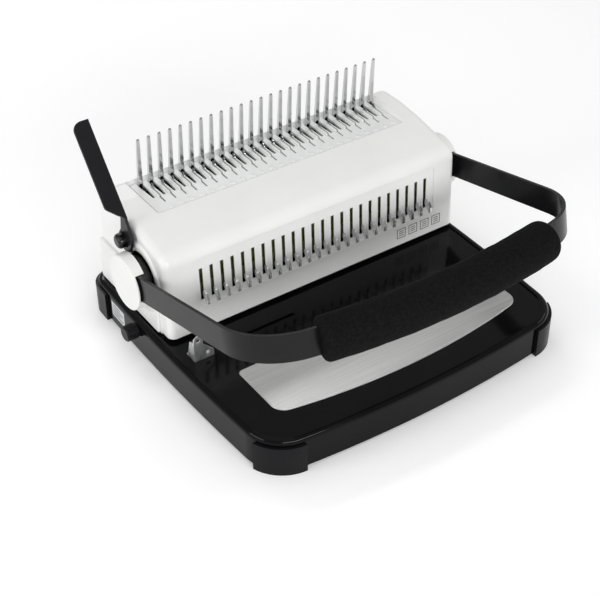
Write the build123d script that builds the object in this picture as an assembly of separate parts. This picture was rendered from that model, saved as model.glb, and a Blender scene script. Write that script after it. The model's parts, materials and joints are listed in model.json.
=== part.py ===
from build123d import *
import os
from math import atan2, cos, degrees, hypot, pi, radians, sin, sqrt, tan

# A manual comb punch and binding machine, in millimetres.
# X runs along the row of punches, -Y is the operator's side, +Z is up and the table is z = 0.

# ---- driving dimensions -------------------------------------------------------------
PITCH = 14.2875            # comb ring spacing, 9/16 inch
PUNCHES = 24
FINGERS = PUNCHES + 1
ORIGIN_X, ORIGIN_Y = 2.7, 40.25   # put the origin under the middle of the overall box

# base
PAN_X = -5.0                 # the pan sits a little to the left of the punch row
PAN_REAR, PAN_FRONT_SIDE, PAN_FRONT_MID = 178.0, -215.0, -229.0
PAN_HALF_REAR, PAN_HALF_MID, PAN_HALF_FRONT = 217.5, 220.4, 211.0
PAN_BOTTOM, DECK_Z, RIM_Z, PAN_CEILING = 4.0, 46.0, 47.8, 42.5
PAN_WALL, RIM_WIDTH = 3.0, 9.0
FOOT_HEIGHT, FOOT_WALL = 39.0, 3.6

# housing
HOUSING_HALF, SHELL = 212.0, 2.6
HOUSING_FOOT, HOUSING_TOP = 48.1, 180.0
FRONT_FOOT_Y, FRONT_HEAD_Y, REAR_HEAD_Y, REAR_FOOT_Y = -3.0, 2.0, 153.0, 171.0
SLOT_LOW, SLOT_HIGH, SLOT_HALF = 90.2, 133.8, 2.4
COVER_HALF, COVER_TOP = 215.0, 109.0

# handle
HUB_Y, HUB_Z, HUB_R, HUB_OUT, HUB_IN = 55.0, 112.0, 34.5, 237.0, 223.0
ARM_REST = 13.5            # degrees above level when folded forward
ARM_OUT, ARM_T, ARM_H = 233.0, 4.0, 32.0
BOW_REACH, BOW_RADIUS, CORNER_RADIUS = 306.0, 683.0, 78.0
GRIP_LEFT, GRIP_RIGHT, GRIP_R = 161.0, 152.0, 25.0
SHAFT_R = 8.0
HANDLE_PINION = (2.0, 11)  # module and teeth

# comb opener
LEVER_Y, LEVER_Z, LEVER_LEAN = 80.0, 152.0, 51.0
LEVER_SHAFT_R = 6.0
NECK_IN, NECK_OUT, PADDLE_OUT = -216.4, -219.9, -237.5
LEVER_PINION = (2.0, 16)
TRAY_X0, TRAY_X1, TRAY_Y0, TRAY_Y1, TRAY_Z = -174.0, 182.0, 74.0, 146.0, 173.5
FINGER_X0, FINGER_Y, FINGER_TIP_Y, FINGER_TIP_Z = -162.4, 141.0, 136.0, 239.0

# punch unit
PIN_Y, PIN_W, PIN_T, PIN_FOOT = 12.0, 8.0, 3.0, 40.0
BAR_Z0, BAR_Z1, BAR_Y0, BAR_Y1 = 94.0, 112.0, 5.0, 22.0
THROAT_TOP = 51.3
FRAME_IN, FRAME_OUT = 190.0, 194.0

# margin adjuster
KNOB_Y, KNOB_Z = 58.0, 35.0
KNOB_PINION = (1.0, 12)

PUNCH_X = [(i - (PUNCHES - 1) / 2) * PITCH for i in range(PUNCHES)]
FINGER_X = [FINGER_X0 + i * PITCH for i in range(FINGERS)]
HOOK_X = [x + PITCH / 2 for x in FINGER_X[:-1]]


# ---- small helpers ------------------------------------------------------------------
def block(x0, x1, y0, y1, z0, z1):
    """A box between two corners."""
    size = Box(abs(x1 - x0), abs(y1 - y0), abs(z1 - z0))
    return Pos((x0 + x1) / 2, (y0 + y1) / 2, (z0 + z1) / 2) * size


def rod_x(radius, x0, x1, y, z):
    """A round bar along X."""
    return Pos((x0 + x1) / 2, y, z) * Rot(0, 90, 0) * Cylinder(radius, abs(x1 - x0))


def rod_z(radius, x, y, z0, z1):
    """An upright round bar."""
    return Pos(x, y, (z0 + z1) / 2) * Cylinder(radius, z1 - z0)


def slab_x(outline, x0, x1):
    """A YZ outline pushed along X."""
    face = outline if isinstance(outline, Sketch) else make_face(Polyline(*outline, close=True))
    return extrude(Plane.YZ.offset(min(x0, x1)) * face, amount=abs(x1 - x0))


def slab_z(outline, z0, z1):
    """A plan outline pushed up."""
    face = outline if isinstance(outline, Sketch) else make_face(Polyline(*outline, close=True))
    return extrude(Plane.XY.offset(z0) * face, amount=z1 - z0)


def mirrored(part):
    """The same piece on the other side of the machine."""
    return mirror(part, about=Plane.YZ)


def polar(angle, radius):
    return (radius * cos(angle), radius * sin(angle))


# ---- gears --------------------------------------------------------------------------
def pinion_outline(module, teeth, addendum, backlash=0.4):
    """Involute pinion with its first tooth space on +X of its own sketch."""
    pitch_r = module * teeth / 2
    base_r = pitch_r * cos(radians(20))
    tip_r, root_r = pitch_r + addendum, pitch_r - 1.2 * module
    inv20 = tan(radians(20)) - radians(20)
    half_tooth = (pi * module / 2 - backlash) / (2 * pitch_r)

    def flank(radius):
        if radius <= base_r:
            return half_tooth + inv20
        a = sqrt((radius / base_r) ** 2 - 1)
        return half_tooth + inv20 - (a - atan2(a, 1))

    radii = [root_r] + [base_r + (tip_r - base_r) * k / 4 for k in range(5)]
    points = []
    for i in range(teeth):
        centre = 2 * pi * (i + 0.5) / teeth
        points += [polar(centre - flank(r), r) for r in radii]
        points += [polar(centre + flank(r), r) for r in reversed(radii)]
    return make_face(Polyline(*points, close=True))


def rack_teeth(module, count, addendum, depth, backlash=0.4):
    """Rack outline along local X: teeth point to +Y, pitch line on y = 0, a tooth on x = 0."""
    pitch = pi * module
    slope = tan(radians(20))
    half = (pitch / 2 - backlash) / 2
    foot = 1.15 * module
    points = [(-(count / 2) * pitch, -depth), (-(count / 2) * pitch, -foot)]
    for i in range(count):
        x = (i - (count - 1) / 2) * pitch
        points += [(x - half - foot * slope, -foot), (x - half + addendum * slope, addendum)]
        points += [(x + half - addendum * slope, addendum), (x + half + foot * slope, -foot)]
    points += [((count / 2) * pitch, -foot), ((count / 2) * pitch, -depth)]
    return make_face(Polyline(*points, close=True))


def pinion_x(gear, addendum, x0, x1, y, z, mesh_angle, bore):
    """Pinion on an X shaft; a tooth space faces mesh_angle (degrees from +Y towards +Z)."""
    outline = Rot(0, 0, mesh_angle) * pinion_outline(*gear, addendum)
    wheel = slab_x(Pos(y, z) * (outline - Circle(bore)), x0, x1)
    return wheel


# ---- base ---------------------------------------------------------------------------
def pan_outline(grow=0.0):
    """Plan of the pan: gently bowed sides and front, with large corners."""
    rear_x, mid_x, front_x = PAN_HALF_REAR + grow, PAN_HALF_MID + grow, PAN_HALF_FRONT + grow
    rear_y, side_y, mid_y = PAN_REAR + grow, PAN_FRONT_SIDE - grow, PAN_FRONT_MID - grow
    bow = ThreePointArc((front_x, side_y), (0, mid_y), (-front_x, side_y))
    right = ThreePointArc((rear_x, rear_y), (mid_x, -20), (front_x, side_y))
    left = ThreePointArc((-front_x, side_y), (-mid_x, -20), (-rear_x, rear_y))
    face = make_face([Line((-rear_x, rear_y), (rear_x, rear_y)), right, bow, left])
    face = fillet(face.vertices().sort_by(Axis.Y)[:2], 50 + grow)
    face = fillet(face.vertices().sort_by(Axis.Y)[-2:], 26 + grow)
    return Pos(PAN_X, 0) * face


def base_pan():
    """Stamped steel pan with a rounded rim and a shallow recessed deck."""
    outer = slab_z(pan_outline(), PAN_BOTTOM, RIM_Z)
    outer = fillet(outer.faces().sort_by(Axis.Z)[-1].edges(), 7)
    cavity = slab_z(pan_outline(-PAN_WALL), PAN_BOTTOM, PAN_CEILING)
    cavity = fillet(cavity.faces().sort_by(Axis.Z)[-1].edges(), 4)
    pan = outer - cavity - slab_z(pan_outline(-RIM_WIDTH), DECK_Z, RIM_Z + 1)
    ledge = 44.0
    pan -= block(-188, 188, 1, 29, ledge, DECK_Z + 1) + block(-178, 178, 6, 19, 40, ledge)
    pan -= block(-207, -62, -38.3, -33.7, 40, DECK_Z + 1)
    for side in (-1, 1):
        pan -= block(side * 173.4, side * 178.6, 66.5, 79, 40, DECK_Z + 1)
    pan -= rod_x(3.3, -230, 230, KNOB_Y, KNOB_Z)
    pan -= block(-151, 151, PAN_REAR - 8, PAN_REAR + 1, 6, 31.6)
    return pan


def bottom_plate():
    """Sheet that closes the underside of the pan and carries the drawer."""
    return slab_z(pan_outline(-PAN_WALL - 0.4), PAN_BOTTOM, PAN_BOTTOM + 1.2)


def corner_feet(rear):
    """Two plastic boots that wrap the corners of the pan and stand on the table."""
    y0, y1 = (134, 190) if rear else (-240, -188)
    x0 = 184 if rear else 167
    screw_x, screw_y = foot_screw(rear)
    boots = Part()
    for side in (-1, 1):
        zone = block(PAN_X + side * x0, PAN_X + side * 230, y0, y1, 0, FOOT_HEIGHT)
        boot = slab_z(pan_outline(FOOT_WALL), 0, FOOT_HEIGHT) & zone
        boot -= slab_z(pan_outline(), PAN_BOTTOM, FOOT_HEIGHT + 1)
        boots += boot - rod_z(4.3, PAN_X + side * screw_x, screw_y, -1, PAN_BOTTOM + 1)
    return boots


def foot_screw(rear):
    return (196, 152) if rear else (186, -193)


def deck_plate():
    """Brushed aluminium wear plate let into the deck."""
    arc = ThreePointArc((175, -171), (0, -190), (-175, -171))
    face = make_face([Line((-175, -88), (175, -88)), Line((175, -88), (175, -171)), arc,
                      Line((-175, -171), (-175, -88))])
    face = fillet(face.vertices().sort_by(Axis.Y)[:2], 18)
    face = fillet(face.vertices().sort_by(Axis.Y)[-2:], 6)
    plate = slab_z(face, DECK_Z, DECK_Z + 1.4)
    return chamfer(plate.faces().sort_by(Axis.Z)[-1].edges(), 0.6)


def waste_drawer():
    """Chip tray under the dies; it pulls out at the rear."""
    tub = block(-150, 150, -2, PAN_REAR + 0.3, 6.4, 31) - block(-148, 148, 0, PAN_REAR - 2, 8, 32)
    face = block(-154, 154, PAN_REAR + 0.3, PAN_REAR + 3.3, 5.6, 33.5)
    pull = block(-32, 32, PAN_REAR + 3.3, PAN_REAR + 9, 24, 27)
    return tub + face + pull


def edge_guide():
    """Paper side stop: upright plate across the deck, on a foot that runs in the deck slot."""
    foot = block(-206, -180, -46, -28, 46.4, 48)
    plate = make_face(Polyline((-206, 46.4), (-206, 82), (-194, 82), (-194, 68), (-180, 55),
                               (-180, 46.4), close=True))
    top = fillet(plate.vertices().sort_by(Axis.Y)[-2:], 5.8)
    face = top - Pos(-200, 75.5) * Circle(2.4) - Pos(-188, 54.5) * Circle(2.6)
    upright = extrude(Plane.XZ.offset(44.4) * face, amount=1.6)
    flange = slab_x([(-46, 46.4), (-30, 46.4), (-36, 70), (-46, 74)], -206, -204.6)
    screw = rod_z(1.9, -195, -36, 38.4, 48) + rod_z(4.6, -195, -36, 48, 50.6)
    nut = Pos(-195, -36, 40.2) * extrude(RegularPolygon(5.5, 6), 2)
    return foot + upright + flange + screw + nut


# ---- housing ------------------------------------------------------------------------
def housing_profile(inset=0.0):
    """Side view of the housing: near-vertical front, sloping shoulder, flat top, raked rear."""
    points = [(FRONT_FOOT_Y, HOUSING_FOOT), (FRONT_HEAD_Y, 161.5), (76, 175.8), (112, HOUSING_TOP),
              (REAR_HEAD_Y, HOUSING_TOP), (REAR_FOOT_Y, HOUSING_FOOT)]
    face = make_face(Polyline(*points, close=True))
    by_y = face.vertices().sort_by(Axis.Y)
    front_top = [v for v in by_y if abs(v.Y - 161.5) < 0.01]
    rear_top = [v for v in by_y if abs(v.X - REAR_HEAD_Y) < 0.01]
    face = fillet(front_top, 18)
    face = fillet(face.vertices().filter_by_position(Axis.X, REAR_HEAD_Y - 0.1, REAR_HEAD_Y + 0.1), 12)
    return offset(face, -inset) if inset else face


def housing_block(inset=0.0, round_off=9.0):
    """Solid envelope of the housing with rounded ends."""
    half = HOUSING_HALF - inset
    body = slab_x(housing_profile(inset), -half, half)
    ends = [e for e in body.edges() if abs(abs(e.center().X) - half) < 0.01
            and e.bounding_box().max.Z > HOUSING_FOOT + inset + 1]
    return fillet(ends, round_off - inset)


def housing_shell():
    """Moulded upper housing: shell, slot panel, tray opening and hub openings."""
    envelope = housing_block()
    core = housing_block(SHELL)
    core += block(-HOUSING_HALF + SHELL, HOUSING_HALF - SHELL, 1, 165, HOUSING_FOOT - 1, HOUSING_FOOT + 8)
    shell = envelope - core
    throat = block(-230, 230, -20, 19, 40, THROAT_TOP)
    well = block(TRAY_X0 - 0.5, TRAY_X1 + 0.5, TRAY_Y0 - 0.5, TRAY_Y1 + 0.5, 160, 190)
    mouth = Plane.XY.offset(TRAY_Z) * Pos((TRAY_X0 + TRAY_X1) / 2, (TRAY_Y0 + TRAY_Y1) / 2)
    mouth = extrude(mouth * RectangleRounded(TRAY_X1 - TRAY_X0 + 1, TRAY_Y1 - TRAY_Y0 + 1, 3), 12, taper=-40)
    mouth &= block(-230, 230, TRAY_Y0 - 8, TRAY_Y1 + 4, 160, 200)
    collar = envelope & block(TRAY_X0 - 8, TRAY_X1 + 8, TRAY_Y0 - 8, TRAY_Y1 + 3.5, 170.4, 190)
    shell = shell + collar - well - mouth - throat
    panel = extrude(Plane.XZ.offset(-20) * Pos(2, 115) * RectangleRounded(352, 68, 9), amount=40)
    shell -= panel - Pos(0, 1.5, 0) * envelope
    for x in PUNCH_X:
        shell -= block(x - SLOT_HALF, x + SLOT_HALF, -8, 7, SLOT_LOW, SLOT_HIGH)
    for side in (-1, 1):
        shell += hub_ring(side, HOUSING_HALF) & block(side * 212, side * 230, -20, 170, COVER_TOP, 190)
    shell -= rod_x(31, -230, 230, HUB_Y, HUB_Z)
    shell -= rod_x(9, -230, -200, LEVER_Y, LEVER_Z) + rod_x(12, -230, -212, LEVER_Y, LEVER_Z)
    return shell


def hub_ring(side, wall):
    """Soft raised ring round a hub opening, standing 2 mm proud of the wall."""
    return Pos(side * (wall - 6), HUB_Y, HUB_Z) * Rot(0, 90, 0) * Torus(39, 8)


def side_cover(side):
    """Lower side panel, proud of the housing end, with an arch round the handle hub."""
    outline = make_face(Polyline((20, 48.2), (163, 48.2), (158, COVER_TOP), (20, COVER_TOP), close=True))
    outline = fillet(outline.vertices(), 5)
    cover = slab_x(outline, HOUSING_HALF, COVER_HALF)
    cover = fillet(cover.faces().sort_by(Axis.X)[-1].edges(), 2)
    cover += hub_ring(1, COVER_HALF) & block(HOUSING_HALF, 230, 20, 150, 50, COVER_TOP)
    cover -= rod_x(31, 200, 230, HUB_Y, HUB_Z)
    return cover if side > 0 else mirrored(cover)


def comb_tray():
    """Tray on top: openings for the fingers and hooks, a stepped rib behind each ring."""
    tray = block(TRAY_X0, TRAY_X1, TRAY_Y0, TRAY_Y1, TRAY_Z - 3, TRAY_Z)
    for x in HOOK_X:
        rib = block(x - 3.4, x + 3.4, 104, 129, TRAY_Z, TRAY_Z + 2.6)
        rib = chamfer(rib.faces().sort_by(Axis.Z)[-1].edges(), 1.2)
        stud = block(x - 3, x + 3, 76, 83, TRAY_Z, TRAY_Z + 1.2)
        tray += rib + chamfer(stud.faces().sort_by(Axis.Z)[-1].edges(), 1)
    for x in HOOK_X:
        tray -= block(x - 1.1, x + 1.1, 92, 127, TRAY_Z - 4, TRAY_Z + 5)
    for x in FINGER_X:
        tray -= block(x - 3.3, x + 3.3, 132, 143.6, TRAY_Z - 4, TRAY_Z + 1)
    for x in FINGER_X[:-1]:
        taper = [(x - 3.3, 132.5), (x + 3.3, 132.5), (x + 1.4, 106), (x - 1.4, 106)]
        tray -= slab_z(taper, TRAY_Z - 4, TRAY_Z + 1)
    return tray


def finger_comb():
    """Chromed comb of fixed upright fingers on a flange under the tray."""
    flange = block(-FRAME_IN, FRAME_IN, 121, FINGER_Y + 1, 158, 160)
    side = make_face(Polyline((FINGER_Y - 1.4, 159), (FINGER_Y + 1.0, 159), (FINGER_Y + 1.0, 182),
                              (FINGER_TIP_Y + 1.2, FINGER_TIP_Z - 2.5), (FINGER_TIP_Y, FINGER_TIP_Z),
                              (FINGER_TIP_Y - 1.2, FINGER_TIP_Z - 2), (FINGER_Y - 3.6, 185),
                              (FINGER_Y - 4.4, 177), (FINGER_Y - 1.4, 170), close=True))
    comb = flange
    for x in FINGER_X:
        blade = slab_x(side, x - 2.6, x + 2.6)
        wide = [(x - 2.6, 155), (x + 2.6, 155), (x + 2.6, 184), (x + 1.9, 237), (x + 1.1, 240),
                (x - 1.1, 240), (x - 1.9, 237), (x - 2.6, 184)]
        taper = extrude(Plane.XZ.offset(-150) * make_face(Polyline(*wide, close=True)), amount=40)
        comb += blade & taper
    return comb


# ---- frame --------------------------------------------------------------------------
def side_frame(side):
    """Steel cheek that carries both shafts, the dies and the comb fingers."""
    outline = [(6, DECK_Z), (140, DECK_Z), (140, 164), (100, 164), (60, 160), (22, 140), (6, 118)]
    cheek = slab_x(outline, FRAME_IN, FRAME_OUT)
    cheek -= rod_x(11, 180, 200, HUB_Y, HUB_Z) + rod_x(9, 180, 200, LEVER_Y, LEVER_Z)
    foot = block(FRAME_OUT, 203, 30, 130, DECK_Z, DECK_Z + 3)
    cheek += foot
    return cheek if side > 0 else mirrored(cheek)


def shaft_bushes():
    """Flanged plain bearings of both shafts in the cheeks."""
    bushes = Part()
    for side in (-1, 1):
        for radius, bore, y, z in ((11, SHAFT_R, HUB_Y, HUB_Z), (9, LEVER_SHAFT_R, LEVER_Y, LEVER_Z)):
            bush = rod_x(radius, side * FRAME_IN, side * (FRAME_OUT + 4), y, z)
            bush += rod_x(radius + 3, side * FRAME_OUT, side * (FRAME_OUT + 2), y, z)
            bushes += bush - rod_x(bore + 0.06, side * 180, side * 210, y, z)
    return bushes


def tie_rods():
    """Spacer rods between the cheeks."""
    rods = rod_x(5, -FRAME_IN, FRAME_IN, 128, 66) + rod_x(5, -FRAME_IN, FRAME_IN, 128, 140)
    return rods


def hole_row(z0, z1, half_w, half_t):
    """Cutters for the row of punch holes."""
    cutters = Part()
    for x in PUNCH_X:
        cutters += block(x - half_w, x + half_w, PIN_Y - half_t, PIN_Y + half_t, z0, z1)
    return cutters


def die_plate():
    plate = block(-187.6, 187.6, 1.4, 28.6, 44, DECK_Z)
    return plate - hole_row(43, 47, PIN_W / 2 + 0.3, PIN_T / 2 + 0.3)


def stripper_plate():
    """Guide plate that holds the sheets down and steers the pins."""
    plate = block(-FRAME_IN, FRAME_IN, 6, 28, THROAT_TOP, THROAT_TOP + 4)
    return plate - hole_row(THROAT_TOP - 1, THROAT_TOP + 5, PIN_W / 2 + 0.3, PIN_T / 2 + 0.3)


# ---- punch carriage -----------------------------------------------------------------
def punch_bar():
    """Pressure bar with its two end brackets and racks."""
    bar = block(-176, 176, BAR_Y0, BAR_Y1, BAR_Z0, BAR_Z1)
    bar += block(-176, 176, 7, 10, BAR_Z1, 131)
    for x in PUNCH_X:
        bar -= block(x - 0.95, x + 0.95, BAR_Y0 - 1, BAR_Y1 + 1, 96.7, 103.4)
        bar -= block(x - PIN_W / 2, x + PIN_W / 2, PIN_Y - PIN_T / 2, PIN_Y + PIN_T / 2, BAR_Z0 - 1, 96)
    module, teeth = HANDLE_PINION
    pitch_y = HUB_Y - module * teeth / 2
    for side in (-1, 1):
        arm = block(side * 176, side * 186, BAR_Y0, 36, BAR_Z0, BAR_Z1)
        teeth_face = Pos(pitch_y, HUB_Z - module * pi) * Rot(0, 0, -90) * rack_teeth(module, 7, 1.2, 10)
        rack = slab_x(teeth_face, side * 178, side * 186)
        bar += arm + rack
    return bar


def punch_pins():
    pins = Part()
    for x in PUNCH_X:
        pins += block(x - PIN_W / 2, x + PIN_W / 2, PIN_Y - PIN_T / 2, PIN_Y + PIN_T / 2, PIN_FOOT, 96)
    return pins


def die_selector(x):
    """Sheet-metal key that couples one pin; its flared end stands out of the front slot."""
    outline = make_face(Polyline((17.5, 97), (17.5, 103), (2, 103), (-4, 106), (-9, 104), (-13, 98),
                                 (-13.5, 92), (-11, 89.5), (-7.5, 90), (-5, 94), (-2, 97), close=True))
    key = slab_x(outline, x - 0.6, x + 0.6)
    lip = make_face(Polyline((-7.5, 104.8), (-9, 104), (-13, 98), (-13.5, 92), (-11, 89.5), (-8.5, 90),
                             (-9.6, 93), (-9.8, 97), (-7, 102), close=True))
    lip = slab_x(lip, x - 2.1, x + 2.1)
    ends = lip.faces().sort_by(Axis.X)[0].edges() + lip.faces().sort_by(Axis.X)[-1].edges()
    return key + chamfer(ends, 0.8)


# ---- handle -------------------------------------------------------------------------
def bail_points():
    """Half of the bail's centre line in plan: hub end, leg end, corner middle, bow start."""
    x0, x1, reach1 = ARM_OUT - ARM_T / 2, 226.0, 205.0
    leg_dir = atan2(reach1, x1 - x0)
    # the corner circle is tangent to the leg and lies inside the bow circle
    nx, ny = -sin(leg_dir), cos(leg_dir)
    bow_c = (0.0, BOW_REACH - BOW_RADIUS)
    gap = BOW_RADIUS - CORNER_RADIUS
    # centre = leg point + inward normal * r + t * leg direction
    px, py = x0 + nx * CORNER_RADIUS, ny * CORNER_RADIUS
    dx, dy = cos(leg_dir), sin(leg_dir)
    qx, qy = px - bow_c[0], py - bow_c[1]
    b, c = qx * dx + qy * dy, qx * qx + qy * qy - gap * gap
    t = -b + sqrt(b * b - c)
    cx, cy = px + t * dx, py + t * dy
    leg_end = (cx - nx * CORNER_RADIUS, cy - ny * CORNER_RADIUS)
    ux, uy = (cx - bow_c[0]) / gap, (cy - bow_c[1]) / gap
    bow_start = (cx + ux * CORNER_RADIUS, cy + uy * CORNER_RADIUS)
    mx, my = (ux - nx) / 2, (uy - ny) / 2
    m = hypot(mx, my)
    corner_mid = (cx + mx / m * CORNER_RADIUS, cy + my / m * CORNER_RADIUS)
    return (x0, 0), leg_end, corner_mid, bow_start


def bail_path():
    """Centre line of the whole bail, from hub to hub."""
    start, leg_end, corner_mid, bow_start = bail_points()
    far = [(-x, y) for x, y in (start, leg_end, corner_mid, bow_start)]
    near_side = [Line(start, leg_end), ThreePointArc(leg_end, corner_mid, bow_start)]
    bow = ThreePointArc(bow_start, (0, BOW_REACH), far[3])
    far_side = [ThreePointArc(far[3], far[2], far[1]), Line(far[1], far[0])]
    return Wire(near_side + [bow] + far_side)


def in_handle(part):
    """Moves a part drawn with x across and y along the reach into the folded handle."""
    a = ARM_REST
    return Pos(0, HUB_Y, HUB_Z) * Rot(-a, 0, 0) * Rot(0, 0, 180) * part


def handle_bar():
    """Flat steel bail, on edge, with an eye at each end on the shaft."""
    profile = Plane((ARM_OUT - ARM_T / 2, 0, 0), x_dir=(1, 0, 0), z_dir=(0, 1, 0)) * Rectangle(ARM_T, ARM_H)
    bar = sweep(profile, path=bail_path(), transition=Transition.RIGHT)
    for side in (-1, 1):
        x0, x1 = side * (ARM_OUT - ARM_T), side * ARM_OUT
        bar += rod_x(ARM_H / 2, x0, x1, 0, 0)
        bar -= rod_x(SHAFT_R, side * 220, side * 240, 0, 0)
    return in_handle(bar)


def foam_grip():
    """Soft sleeve on the bowed front of the bail."""
    left, right = (degrees(atan2(x, BOW_RADIUS)) for x in (GRIP_LEFT, GRIP_RIGHT))
    centre = Pos(0, BOW_REACH - BOW_RADIUS, 0)
    ring = Plane.XZ * Pos(BOW_RADIUS, 0, 0) * Circle(GRIP_R)
    sleeve = Rot(0, 0, 90 - left) * revolve(ring, axis=Axis.Z, revolution_arc=left + right)
    sleeve = fillet(sleeve.edges(), 5)
    slot = Plane.XZ * Pos(BOW_RADIUS, 0) * Rectangle(ARM_T, ARM_H)
    slot = Rot(0, 0, 88 - left) * revolve(slot, axis=Axis.Z, revolution_arc=left + right + 4)
    return in_handle(centre * (sleeve - slot))


def hub_cover(side):
    """Round cap over the arm's eye, notched where the arm leaves it."""
    cap = rod_x(HUB_R, HUB_IN, HUB_OUT, 0, 0)
    cap = fillet(cap.faces().sort_by(Axis.X)[-1].edges(), 1.6)
    cap -= rod_x(HUB_R - 2.4, HUB_IN - 1, HUB_OUT - 2.6, 0, 0)
    cap -= block(HUB_IN - 1, HUB_OUT - 2.6, 0, HUB_R + 4, -ARM_H / 2 - 0.6, ARM_H / 2 + 0.6)
    boss = rod_x(12, ARM_OUT, HUB_OUT - 2.6, 0, 0)
    cap += boss
    cap = in_handle(mirrored(cap))
    return cap if side > 0 else mirrored(cap)


def handle_shaft():
    """Cross shaft with a disc at each end that fills the hub opening of the housing."""
    shaft = rod_x(SHAFT_R, -ARM_OUT, ARM_OUT, HUB_Y, HUB_Z)
    for side in (-1, 1):
        shaft += rod_x(26, side * (HOUSING_HALF + 1), side * (ARM_OUT - ARM_T - 0.7), HUB_Y, HUB_Z)
    return shaft


def handle_pinions():
    pinions = Part()
    for side in (-1, 1):
        pinions += pinion_x(HANDLE_PINION, 1.8, side * 178, side * 186, HUB_Y, HUB_Z, 180, SHAFT_R)
    return pinions


# ---- comb opener --------------------------------------------------------------------
def lever_point(along, ahead):
    """A YZ point measured along the lever's lean and square to it, from its pivot."""
    a = radians(LEVER_LEAN)
    return (LEVER_Y + along * cos(a) - ahead * sin(a), LEVER_Z + along * sin(a) + ahead * cos(a))


def comb_lever():
    """Steel lever: a neck on the shaft and a paddle folded outwards from its front edge."""
    neck = make_face(Polyline(lever_point(-6, 22), lever_point(24, 28.5), lever_point(26, 19),
                              lever_point(13, 5), lever_point(9, -9), lever_point(-6, -12),
                              lever_point(-16, -6), lever_point(-17, 4), close=True))
    neck = fillet(neck.vertices(), 3)
    lever = slab_x(neck, NECK_OUT, NECK_IN)
    lever -= rod_x(LEVER_SHAFT_R, -230, -210, LEVER_Y, LEVER_Z)
    paddle = make_face(Polyline((NECK_IN, 20), (NECK_IN, 141), (PADDLE_OUT, 141), (PADDLE_OUT, 38),
                                (NECK_OUT - 6, 27), close=True))
    tip = paddle.vertices().filter_by_position(Axis.X, PADDLE_OUT - 1, PADDLE_OUT + 1)
    paddle = fillet(tip.sort_by(Axis.Y)[-1:], 11)
    heel = paddle.vertices().filter_by_position(Axis.X, PADDLE_OUT - 1, PADDLE_OUT + 1)
    paddle = fillet(heel.sort_by(Axis.Y)[:1], 7)
    sheet = extrude(paddle, amount=3)
    place = Pos(0, *lever_point(0, 25.5)) * Rot(LEVER_LEAN, 0, 0)
    return lever + place * sheet


def lever_bolt():
    """Domed cap bolt and washer on the end of the lever shaft."""
    head = rod_x(9.2, -229.5, NECK_OUT - 1, LEVER_Y, LEVER_Z)
    head = fillet(head.faces().sort_by(Axis.X)[0].edges(), 4.5)
    washer = rod_x(10, NECK_OUT - 1, NECK_OUT, LEVER_Y, LEVER_Z)
    return head + washer


def lever_collar():
    """Black flanged bush where the lever shaft leaves the housing."""
    collar = rod_x(11.5, NECK_IN + 0.4, -212, LEVER_Y, LEVER_Z) + rod_x(9, -212, -205, LEVER_Y, LEVER_Z)
    return collar - rod_x(LEVER_SHAFT_R + 0.08, -230, -200, LEVER_Y, LEVER_Z)


def lever_shaft():
    return rod_x(LEVER_SHAFT_R, NECK_OUT, 200, LEVER_Y, LEVER_Z)


def lever_pinions():
    pinions = Part()
    for side in (-1, 1):
        pinions += pinion_x(LEVER_PINION, 1.8, side * 178, side * 186, LEVER_Y, LEVER_Z, 270,
                            LEVER_SHAFT_R)
    return pinions


def hook_plate():
    """Sliding plate with one hook for each comb ring, driven by racks below the shaft."""
    plate = block(-187, 187, 111.5, 128, 163, 165)
    module, teeth = LEVER_PINION
    pitch_z = LEVER_Z - module * teeth / 2
    for side in (-1, 1):
        rack = slab_x(Pos(LEVER_Y + module * pi, pitch_z) * rack_teeth(module, 5, 1.4, 8), side * 178, side * 186)
        floor = block(side * 178, side * 186, 100, 118, pitch_z - 8, pitch_z - 3)
        leg = block(side * 178, side * 186, 113, 118, pitch_z - 8, 165)
        plate += rack + floor + leg
    hook = make_face(Polyline((116, 164), (125, 164), (125, 181.5), (121.5, 181.5), (121.5, 178.6),
                              (119.5, 178.6), (119.5, 176), (116, 172), close=True))
    for x in HOOK_X:
        plate += slab_x(hook, x - 0.75, x + 0.75)
    return plate


# ---- margin adjuster ----------------------------------------------------------------
def margin_shaft():
    """Cross shaft of the margin adjuster with its two small pinions."""
    shaft = rod_x(3, -235, 215, KNOB_Y, KNOB_Z)
    for side in (-1, 1):
        shaft += pinion_x(KNOB_PINION, 0.9, side * 174, side * 178, KNOB_Y, KNOB_Z, 270, 2)
    return shaft


def margin_knob():
    """Ribbed knob on a washer."""
    knob = rod_x(10, -242.4, -228.4, KNOB_Y, KNOB_Z)
    knob = chamfer(knob.faces().sort_by(Axis.X)[0].edges(), 1.4)
    ribs = 20
    for i in range(ribs):
        y, z = polar(2 * pi * i / ribs, 10.2)
        knob -= rod_x(0.8, -240.4, -228.4, KNOB_Y + y, KNOB_Z + z)
    washer = rod_x(9, -228.4, -226.2, KNOB_Y, KNOB_Z)
    knob += washer
    return knob - rod_x(3, -235, -220, KNOB_Y, KNOB_Z)


def margin_stop():
    """Depth stop for the sheets, carried on two arms with racks under the cross shaft."""
    stop = block(-178, 178, 16.6, 20, 46.4, 50.1)
    module, teeth = KNOB_PINION
    pitch_z = KNOB_Z - module * teeth / 2
    for side in (-1, 1):
        arm = block(side * 174, side * 178, 20, 73, 46.4, 50.1)
        leg = block(side * 174, side * 178, 69, 73, pitch_z - 5, 50.1)
        rack = slab_x(Pos(KNOB_Y, pitch_z) * rack_teeth(module, 7, 0.7, 5), side * 174, side * 178)
        stop += arm + leg + rack + block(side * 174, side * 178, 66, 73, pitch_z - 5, pitch_z - 1.3)
    return stop


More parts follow.
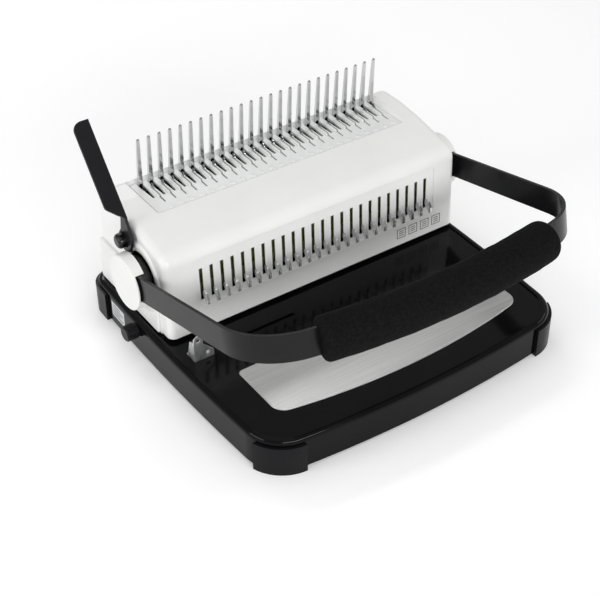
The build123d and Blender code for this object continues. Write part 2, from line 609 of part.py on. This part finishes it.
def frame_screws():
    """Countersunk and pan head screws that hold cheeks, plates and feet."""
    screws = Part()
    for side in (-1, 1):
        for y in (45, 80, 115):
            screws += rod_z(3.6, side * 198.6, y, DECK_Z + 3, DECK_Z + 5.4)
        for rear in (False, True):
            x, y = foot_screw(rear)
            screws += rod_z(4, PAN_X + side * x, y, 2.4, PAN_BOTTOM)
    return screws


# ---- write every node ---------------------------------------------------------------
NODES = {
    "base_pan": base_pan,
    "bottom_plate": bottom_plate,
    "feet_front": lambda: corner_feet(False),
    "feet_rear": lambda: corner_feet(True),
    "deck_plate": deck_plate,
    "waste_drawer": waste_drawer,
    "edge_guide": edge_guide,
    "housing_shell": housing_shell,
    "side_cover_left": lambda: side_cover(-1),
    "side_cover_right": lambda: side_cover(1),
    "comb_tray": comb_tray,
    "finger_comb": finger_comb,
    "side_frame_left": lambda: side_frame(-1),
    "side_frame_right": lambda: side_frame(1),
    "shaft_bushes": shaft_bushes,
    "tie_rods": tie_rods,
    "die_plate": die_plate,
    "stripper_plate": stripper_plate,
    "punch_bar": punch_bar,
    "punch_pins": punch_pins,
    "handle_bar": handle_bar,
    "foam_grip": foam_grip,
    "hub_cover_left": lambda: hub_cover(-1),
    "hub_cover_right": lambda: hub_cover(1),
    "handle_shaft": handle_shaft,
    "handle_pinions": handle_pinions,
    "comb_lever": comb_lever,
    "lever_bolt": lever_bolt,
    "lever_collar": lever_collar,
    "lever_shaft": lever_shaft,
    "lever_pinions": lever_pinions,
    "hook_plate": hook_plate,
    "margin_shaft": margin_shaft,
    "margin_knob": margin_knob,
    "margin_stop": margin_stop,
    "frame_screws": frame_screws,
}

os.makedirs("parts", exist_ok=True)
for name, make in NODES.items():
    export_step(Pos(ORIGIN_X, ORIGIN_Y, 0) * make(), f"parts/{name}.step")
for number, x in enumerate(PUNCH_X, 1):
    key = Pos(ORIGIN_X, ORIGIN_Y, 0) * die_selector(x)
    export_step(key, f"parts/die_selector_{number:02d}.step")
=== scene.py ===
import json
import math

import bmesh
import bpy
from mathutils import Matrix, Vector


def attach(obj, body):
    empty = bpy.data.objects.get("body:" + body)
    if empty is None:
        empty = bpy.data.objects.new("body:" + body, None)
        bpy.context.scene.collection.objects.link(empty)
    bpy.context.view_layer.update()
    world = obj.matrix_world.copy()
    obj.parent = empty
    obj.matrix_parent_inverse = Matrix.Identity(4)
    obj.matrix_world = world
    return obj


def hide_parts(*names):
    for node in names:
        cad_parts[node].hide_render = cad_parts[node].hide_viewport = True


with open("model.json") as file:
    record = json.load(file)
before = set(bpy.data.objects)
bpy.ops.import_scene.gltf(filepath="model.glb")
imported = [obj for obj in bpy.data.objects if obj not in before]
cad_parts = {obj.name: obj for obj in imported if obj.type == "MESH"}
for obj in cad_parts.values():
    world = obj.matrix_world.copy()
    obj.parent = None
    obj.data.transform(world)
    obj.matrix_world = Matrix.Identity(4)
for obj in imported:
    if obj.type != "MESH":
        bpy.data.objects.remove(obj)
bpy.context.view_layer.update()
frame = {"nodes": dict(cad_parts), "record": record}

NODES = frame["nodes"]

# The CAD's own axes sit this far from the frame's origin.
SHIFT = Vector((0.0027, 0.04025, 0.0))


def at(x, y, z):
    """A point given in the CAD's millimetres, in the frame's metres."""
    return Vector((x, y, z)) * 0.001 + SHIFT


# ---------------------------------------------------------------- materials
def new_material(name, color, roughness, metallic=0.0, specular=0.5):
    mat = bpy.data.materials.new(name)
    mat.use_nodes = True
    shader = mat.node_tree.nodes["Principled BSDF"]
    shader.inputs["Base Color"].default_value = (*color, 1.0)
    shader.inputs["Roughness"].default_value = roughness
    shader.inputs["Metallic"].default_value = metallic
    shader.inputs["Specular IOR Level"].default_value = specular
    return mat


def shader_of(mat):
    return mat.node_tree.nodes["Principled BSDF"]


def node(mat, kind, **settings):
    made = mat.node_tree.nodes.new(kind)
    for key, value in settings.items():
        if key in made.inputs:
            made.inputs[key].default_value = value
        else:
            setattr(made, key, value)
    return made


def link(mat, a, a_out, b, b_in):
    mat.node_tree.links.new(a.outputs[a_out], b.inputs[b_in])


def stretched(mat, scale):
    """Object coordinates scaled per axis."""
    coords = node(mat, "ShaderNodeTexCoord")
    mapping = node(mat, "ShaderNodeMapping")
    mapping.inputs["Scale"].default_value = scale
    link(mat, coords, "Object", mapping, "Vector")
    return mapping


def noise_bump(mat, scale, detail, strength, distance, axes=(1, 1, 1)):
    """Fine surface relief."""
    mapping = stretched(mat, axes)
    noise = node(mat, "ShaderNodeTexNoise", Scale=scale, Detail=detail)
    bump = node(mat, "ShaderNodeBump", Strength=strength, Distance=distance)
    link(mat, mapping, "Vector", noise, "Vector")
    link(mat, noise, "Fac", bump, "Height")
    link(mat, bump, "Normal", shader_of(mat), "Normal")


def vary(mat, socket, low, high, scale, detail=3.0, axes=(1, 1, 1)):
    """A colour or a number that wanders a little over the surface."""
    mapping = stretched(mat, axes)
    noise = node(mat, "ShaderNodeTexNoise", Scale=scale, Detail=detail)
    ramp = node(mat, "ShaderNodeValToRGB")
    is_color = socket == "Base Color"
    ramp.color_ramp.elements[0].position = 0.3
    ramp.color_ramp.elements[1].position = 0.7
    ramp.color_ramp.elements[0].color = (*low, 1) if is_color else (low, low, low, 1)
    ramp.color_ramp.elements[1].color = (*high, 1) if is_color else (high, high, high, 1)
    link(mat, mapping, "Vector", noise, "Vector")
    link(mat, noise, "Fac", ramp, "Fac")
    link(mat, ramp, "Color", shader_of(mat), socket)


def moulded(name, low, high, roughness, grain=900, depth=0.00006, specular=0.5):
    """Moulded plastic with a very fine spark-eroded texture."""
    mat = new_material(name, low, roughness, specular=specular)
    vary(mat, "Base Color", low, high, 14.0)
    vary(mat, "Roughness", roughness - 0.04, roughness + 0.06, 60.0)
    noise_bump(mat, grain, 4.0, 0.25, depth)
    return mat


def enamel(name, low, high, roughness, specular=0.35):
    """Stoved enamel on sheet steel with slight orange peel."""
    mat = new_material(name, low, roughness, specular=specular)
    vary(mat, "Base Color", low, high, 9.0)
    vary(mat, "Roughness", roughness - 0.03, roughness + 0.05, 35.0)
    noise_bump(mat, 260, 2.0, 0.1, 0.0001)
    return mat


def metal(name, low, high, roughness, grain=(1, 1, 1), scale=500, strength=0.12):
    """Bare or plated metal with fine directional marks."""
    mat = new_material(name, low, roughness, metallic=1.0)
    vary(mat, "Base Color", low, high, 40.0, axes=grain)
    vary(mat, "Roughness", roughness - 0.05, roughness + 0.07, 120.0, axes=grain)
    noise_bump(mat, scale, 3.0, strength, 0.00004, axes=grain)
    return mat


def painted_shade_below(mat, height, low, high):
    """Plated steel whose colour turns near black below a height: painted shade for the parts inside the
    housing.
    """
    coords = node(mat, "ShaderNodeTexCoord")
    split = node(mat, "ShaderNodeSeparateXYZ")
    ramp = node(mat, "ShaderNodeMapRange")
    mix = node(mat, "ShaderNodeMix", data_type="RGBA")
    ramp.inputs["From Min"].default_value = height
    ramp.inputs["From Max"].default_value = height + 0.004
    mix.inputs["A"].default_value = (*low, 1)
    mix.inputs["B"].default_value = (*high, 1)
    link(mat, coords, "Object", split, "Vector")
    link(mat, split, "Z", ramp, "Value")
    link(mat, ramp, "Result", mix, "Factor")
    mat.node_tree.links.new(mix.outputs["Result"], shader_of(mat).inputs["Base Color"])
    return mat


def brushed_aluminium():
    """Long fine brush lines along X."""
    mat = new_material("brushed_aluminium", (0.62, 0.62, 0.61), 0.38, metallic=1.0)
    vary(mat, "Base Color", (0.56, 0.56, 0.555), (0.74, 0.74, 0.735), 1500.0, 3.0, (0.006, 1, 0.1))
    vary(mat, "Roughness", 0.3, 0.46, 1200.0, 2.0, (0.006, 1, 0.1))
    noise_bump(mat, 2200, 2.0, 0.25, 0.00003, (0.006, 1, 0.1))
    return mat


def foam():
    """Dense closed-cell foam: matt, with fine pores."""
    mat = new_material("grip_foam", (0.005, 0.005, 0.005), 0.9, specular=0.06)
    vary(mat, "Base Color", (0.004, 0.004, 0.004), (0.009, 0.009, 0.009), 320.0, 6.0)
    mapping = stretched(mat, (1, 1, 1))
    cells = node(mat, "ShaderNodeTexVoronoi", Scale=900.0)
    soft = node(mat, "ShaderNodeTexNoise", Scale=420.0, Detail=5.0)
    add = node(mat, "ShaderNodeMath", operation="ADD")
    bump = node(mat, "ShaderNodeBump", Strength=0.5, Distance=0.0003)
    link(mat, mapping, "Vector", cells, "Vector")
    link(mat, mapping, "Vector", soft, "Vector")
    link(mat, cells, "Distance", add, 0)
    link(mat, soft, "Fac", add, 1)
    link(mat, add, "Value", bump, "Height")
    link(mat, bump, "Normal", shader_of(mat), "Normal")
    return mat


def build_materials():
    white_low, white_high = (0.82, 0.825, 0.81), (0.85, 0.855, 0.84)
    return {
        "housing_white": moulded("housing_white", white_low, white_high, 0.34),
        "cover_white": moulded("cover_white", (0.78, 0.785, 0.77), (0.82, 0.825, 0.81), 0.38),
        "hub_white": moulded("hub_white", (0.79, 0.79, 0.77), (0.83, 0.83, 0.81), 0.42),
        "tray_white": moulded("tray_white", (0.77, 0.78, 0.77), (0.81, 0.82, 0.81), 0.36),
        "pan_black": enamel("pan_black", (0.002, 0.002, 0.0025), (0.0035, 0.0035, 0.004), 0.1, 0.13),
        "arm_black": enamel("arm_black", (0.005, 0.005, 0.006), (0.008, 0.008, 0.009), 0.22, 0.2),
        "lever_black": enamel("lever_black", (0.006, 0.006, 0.007), (0.01, 0.01, 0.012), 0.34, 0.2),
        "shaft_black": enamel("shaft_black", (0.01, 0.01, 0.011), (0.02, 0.02, 0.02), 0.4),
        "bolt_black": metal("bolt_black", (0.03, 0.03, 0.032), (0.06, 0.06, 0.06), 0.28),
        "boot_black": moulded("boot_black", (0.004, 0.004, 0.005), (0.008, 0.008, 0.009),
                              0.32, 700, 0.0001, 0.12),
        "drawer_black": moulded("drawer_black", (0.01, 0.01, 0.011), (0.02, 0.02, 0.021),
                                0.5, 700, 0.0001),
        "knob_black": moulded("knob_black", (0.004, 0.004, 0.005), (0.008, 0.008, 0.009),
                              0.36, 800, 0.0001, 0.15),
        # Chrome parts below 168.5 mm get a near-black colour as painted shade inside the housing.
        "chrome_parts": painted_shade_below(metal("chrome_parts", (0.5, 0.5, 0.5), (0.68, 0.68, 0.68), 0.14),
                                   0.1685, (0.01, 0.01, 0.01), (0.6, 0.6, 0.61)),
        "guide_zinc": metal("guide_zinc", (0.72, 0.73, 0.74), (0.88, 0.88, 0.88), 0.42),
        "selector_chrome": metal("selector_chrome", (0.6, 0.6, 0.61), (0.8, 0.8, 0.81), 0.18),
        # Yellow zinc plating, darkened to a dim olive as painted shade inside the slots.
        "bar_yellow": metal("bar_yellow", (0.2, 0.21, 0.08), (0.3, 0.31, 0.13), 0.45),
        "zinc_steel": metal("zinc_steel", (0.42, 0.43, 0.44), (0.6, 0.61, 0.6), 0.36),
        "tool_steel": metal("tool_steel", (0.3, 0.3, 0.31), (0.48, 0.48, 0.47), 0.32, (1, 1, 8)),
        "bronze": metal("bronze", (0.42, 0.26, 0.11), (0.55, 0.36, 0.17), 0.4),
        "screw_steel": metal("screw_steel", (0.35, 0.35, 0.36), (0.55, 0.55, 0.54), 0.3),
        "brushed_plate": brushed_aluminium(),
        "grip_foam": foam(),
    }


MATERIALS = build_materials()


def dress_cad_nodes():
    slots = {part["node"]: part["material_slot"] for part in frame["record"]["subparts"]}
    for name, obj in NODES.items():
        mat = MATERIALS[slots[name]]
        for holder in obj.material_slots:
            holder.material = mat
        if not obj.material_slots:
            obj.data.materials.append(mat)


# ---------------------------------------------------------------- mesh helpers
def mesh_object(name, verts, faces, mat, smooth=True):
    mesh = bpy.data.meshes.new(name)
    mesh.from_pydata([tuple(v) for v in verts], [], faces)
    mesh.update()
    obj = bpy.data.objects.new(name, mesh)
    bpy.context.scene.collection.objects.link(obj)
    mesh.materials.append(mat)
    for poly in mesh.polygons:
        poly.use_smooth = smooth
    return obj


def loft(rings):
    """Joins rings of equal count with quads, and caps both ends."""
    count = len(rings[0])
    verts = [p for ring in rings for p in ring]
    faces = []
    for i in range(len(rings) - 1):
        for j in range(count):
            k = (j + 1) % count
            faces.append((i * count + j, i * count + k, (i + 1) * count + k, (i + 1) * count + j))
    faces.append(tuple(reversed(range(count))))
    last = (len(rings) - 1) * count
    faces.append(tuple(last + j for j in range(count)))
    return verts, faces


# ---------------------------------------------------------------- foam grip
HUB_Y, HUB_Z, ARM_REST = 55.0, 112.0, math.radians(13.5)
BOW_REACH, BOW_RADIUS, GRIP_R = 306.0, 683.0, 25.0
GRIP_LEFT, GRIP_RIGHT = 161.0, 152.0


def handle_point(x, reach, lift):
    """A point in the plane of the bail: across, along the arms, and square to them."""
    y = HUB_Y - reach * math.cos(ARM_REST) + lift * math.sin(ARM_REST)
    z = HUB_Z + reach * math.sin(ARM_REST) + lift * math.cos(ARM_REST)
    return at(x, y, z)


def foam_grip():
    """Sleeve on the bowed bar: slightly oval, with rolled ends that dip in to the bar."""
    left = math.atan2(GRIP_LEFT, BOW_RADIUS)
    right = math.atan2(GRIP_RIGHT, BOW_RADIUS)
    around = 96
    rings = []
    end_roll = [(0.0, 0.5), (0.0, 0.76), (0.35, 0.85), (0.95, 0.91), (2.0, 0.955), (3.5, 0.985), (5.5, 0.998)]
    length = (left + right) * BOW_RADIUS
    stations = list(end_roll)
    steps = 72
    for i in range(1, steps):
        stations.append((5.5 + (length - 11.0) * i / steps, 1.0))
    stations += [(length - d, r) for d, r in reversed(end_roll)]
    for distance, scale in stations:
        angle = -left + distance / BOW_RADIUS
        swell = 1.0 - 0.006 * math.sin(distance * 0.11) - 0.004 * math.sin(distance * 0.29 + 1.3)
        ring = []
        for j in range(around):
            t = 2 * math.pi * j / around
            squash = 1.0 - 0.008 * math.sin(3 * t + distance * 0.02)
            radius = GRIP_R * scale * swell * squash
            across = BOW_RADIUS + radius * math.cos(t) * 0.985
            reach = BOW_REACH - BOW_RADIUS + across * math.cos(angle)
            ring.append(handle_point(across * math.sin(angle), reach, radius * math.sin(t)))
        rings.append(ring)
    verts, faces = loft(rings)
    grip = mesh_object("foam_sleeve", verts, faces, MATERIALS["grip_foam"])
    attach(grip, "handle")
    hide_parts("foam_grip")
    return grip


# ---------------------------------------------------------------- printed marks
# All in the CAD's millimetres.
ICONS, ICON_X, ICON_STEP, ICON_Z, ICON_W, ICON_H = 4, 120.0, 18.6, 61.0, 13.6, 13.6
ICON_LINE = 0.9
PLATE_REAR, PLATE_LONG, PLATE_LOW, PLATE_HIGH = 123.0, 33.0, 15.5, 22.0
PLATE_BARS, BAR_STEP, BAR_HIGH = 4, 4.6, 1.5
# In metres: how far a mark stands off the skin, and how far outside it a ray starts.
MARK_LIFT, BAR_LIFT, RAY_START = 0.00015, 0.00025, 0.05


def on_surface(target, origin, direction, lift):
    """Where a ray meets a CAD node, lifted a hair off its skin."""
    inverse = target.matrix_world.inverted()
    hit, spot, _, _ = target.ray_cast(inverse @ origin, inverse.to_3x3() @ direction)
    if not hit:
        raise RuntimeError("a printed mark missed " + target.name)
    return target.matrix_world @ spot - direction.normalized() * lift


def printed_patch(name, target, corner, across, up, direction, mat, cells, lift=MARK_LIFT):
    """A thin printed patch that follows the surface behind it."""
    verts, faces = [], []
    columns, rows = cells
    for j in range(rows + 1):
        for i in range(columns + 1):
            origin = corner + across * (i / columns) + up * (j / rows) - direction * RAY_START
            verts.append(on_surface(target, origin, direction, lift))
    for j in range(rows):
        for i in range(columns):
            first = j * (columns + 1) + i
            faces.append((first, first + 1, first + columns + 2, first + columns + 1))
    patch = mesh_object(name, verts, faces, mat)
    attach(patch, "base")
    return patch


def page_icons():
    """Four identical plain page marks, in place of printed pictograms."""
    ink = new_material("icon_ink", (0.03, 0.03, 0.032), 0.5)
    vary(ink, "Base Color", (0.025, 0.025, 0.027), (0.04, 0.04, 0.042), 80.0)
    shell = NODES["housing_shell"]
    ahead = Vector((0, 1, 0))
    strokes = []
    for icon in range(ICONS):
        x0 = ICON_X + icon * ICON_STEP
        z0 = ICON_Z
        w, h, t = ICON_W, ICON_H, ICON_LINE
        strokes += [(x0, z0, w, t), (x0, z0 + h - t, w, t), (x0, z0, t, h), (x0 + w - t, z0, t, h)]
        for line in range(3):
            strokes.append((x0 + 3.2, z0 + 3.4 + 2.9 * line, w - 6.4, t))
    for number, (x, z, w, h) in enumerate(strokes):
        corner = at(x, -12, z)
        patch = printed_patch(f"icon_line_{number:02d}", shell, corner, Vector((w, 0, 0)) * 0.001,
                              Vector((0, 0, h)) * 0.001, ahead, ink, (3, 3))


def rating_plate():
    """Silver plate with plain dark bars on the left wall of the pan, behind the knob."""
    foil = new_material("plate_foil", (0.62, 0.63, 0.65), 0.4, metallic=0.3)
    vary(foil, "Roughness", 0.28, 0.42, 200.0)
    ink = new_material("plate_ink", (0.03, 0.03, 0.032), 0.5)
    vary(ink, "Base Color", (0.025, 0.025, 0.027), (0.04, 0.04, 0.042), 60.0)
    pan = NODES["base_pan"]
    inward = Vector((1, 0, 0))
    back = Vector((0, -1, 0)) * 0.001
    up = Vector((0, 0, 1)) * 0.001
    plate = printed_patch("rating_plate", pan, at(-232, PLATE_REAR, PLATE_LOW), back * PLATE_LONG,
                          up * PLATE_HIGH, inward, foil, (10, 6))
    for row in range(PLATE_BARS):
        length = PLATE_LONG - 8 - (row % 2) * 7
        corner = at(-232, PLATE_REAR - 4, PLATE_LOW + 3.2 + row * BAR_STEP)
        bar = printed_patch(f"plate_bar_{row}", pan, corner, back * length, up * BAR_HIGH,
                            inward, ink, (10, 2), BAR_LIFT)


# ---------------------------------------------------------------- studio
def area_light(name, place, target, size, power, size_y=None):
    data = bpy.data.lights.new(name, "AREA")
    data.energy = power
    data.size = size
    if size_y:
        data.shape = "RECTANGLE"
        data.size_y = size_y
    obj = bpy.data.objects.new(name, data)
    obj.location = place
    obj.rotation_euler = (Vector(target) - Vector(place)).to_track_quat("-Z", "Y").to_euler()
    bpy.context.scene.collection.objects.link(obj)
    return obj


def studio():
    floor_mat = new_material("studio_floor", (0.95, 0.95, 0.95), 0.8, specular=0.1)
    vary(floor_mat, "Base Color", (0.945, 0.945, 0.945), (0.955, 0.955, 0.955), 3.0)
    shader_of(floor_mat).inputs["Emission Color"].default_value = (1.0, 1.0, 1.0, 1.0)
    shader_of(floor_mat).inputs["Emission Strength"].default_value = 0.14
    bm = bmesh.new()
    bmesh.ops.create_grid(bm, x_segments=8, y_segments=8, size=6.0)
    mesh = bpy.data.meshes.new("studio_floor")
    bm.to_mesh(mesh)
    bm.free()
    floor = bpy.data.objects.new("studio_floor", mesh)
    mesh.materials.append(floor_mat)
    bpy.context.scene.collection.objects.link(floor)

    area_light("key_overhead", (-0.3, -0.2, 1.9), (0, 0, 0.1), 2.2, 6.5)
    area_light("front_strip", (-0.4, -2.2, 1.0), (0, 0, 0.1), 2.0, 27.0, 0.35)
    area_light("left_fill", (-2.2, 0.1, 0.9), (0, 0, 0.1), 1.4, 14.0, 0.6)
    area_light("right_fill", (2.0, -0.6, 1.1), (0, 0, 0.1), 1.2, 4.0, 0.3)
    area_light("rear_strip", (0.3, 2.0, 1.5), (0, 0, 0.15), 1.8, 12.0, 0.25)

    world = bpy.data.worlds.new("studio_world")
    world.use_nodes = True
    world.node_tree.nodes["Background"].inputs["Color"].default_value = (1.0, 1.0, 1.0, 1.0)
    world.node_tree.nodes["Background"].inputs["Strength"].default_value = 0.45
    bpy.context.scene.world = world
    bpy.context.scene.view_settings.view_transform = "Standard"


def camera():
    azimuth, elevation, roll = math.radians(-34.26), math.radians(38.15), math.radians(-0.44)
    back = Vector((math.sin(azimuth) * math.cos(elevation), -math.cos(azimuth) * math.cos(elevation),
                   math.sin(elevation)))
    level = Vector((math.cos(azimuth), math.sin(azimuth), 0.0))
    upright = back.cross(level)
    right = level * math.cos(roll) + upright * math.sin(roll)
    up = -level * math.sin(roll) + upright * math.cos(roll)
    data = bpy.data.cameras.new("camera")
    data.sensor_width = 36.0
    data.lens = 80.3
    data.clip_start, data.clip_end = 0.05, 30.0
    cam = bpy.data.objects.new("camera", data)
    place = Vector((-0.7616, -1.0769, 0.9397 + 0.112)) + SHIFT
    turn = Matrix((right, up, back)).transposed()
    cam.matrix_world = Matrix.Translation(place) @ turn.to_4x4()
    bpy.context.scene.collection.objects.link(cam)
    bpy.context.scene.camera = cam


dress_cad_nodes()
foam_grip()
page_icons()
rating_plate()
studio()
camera()
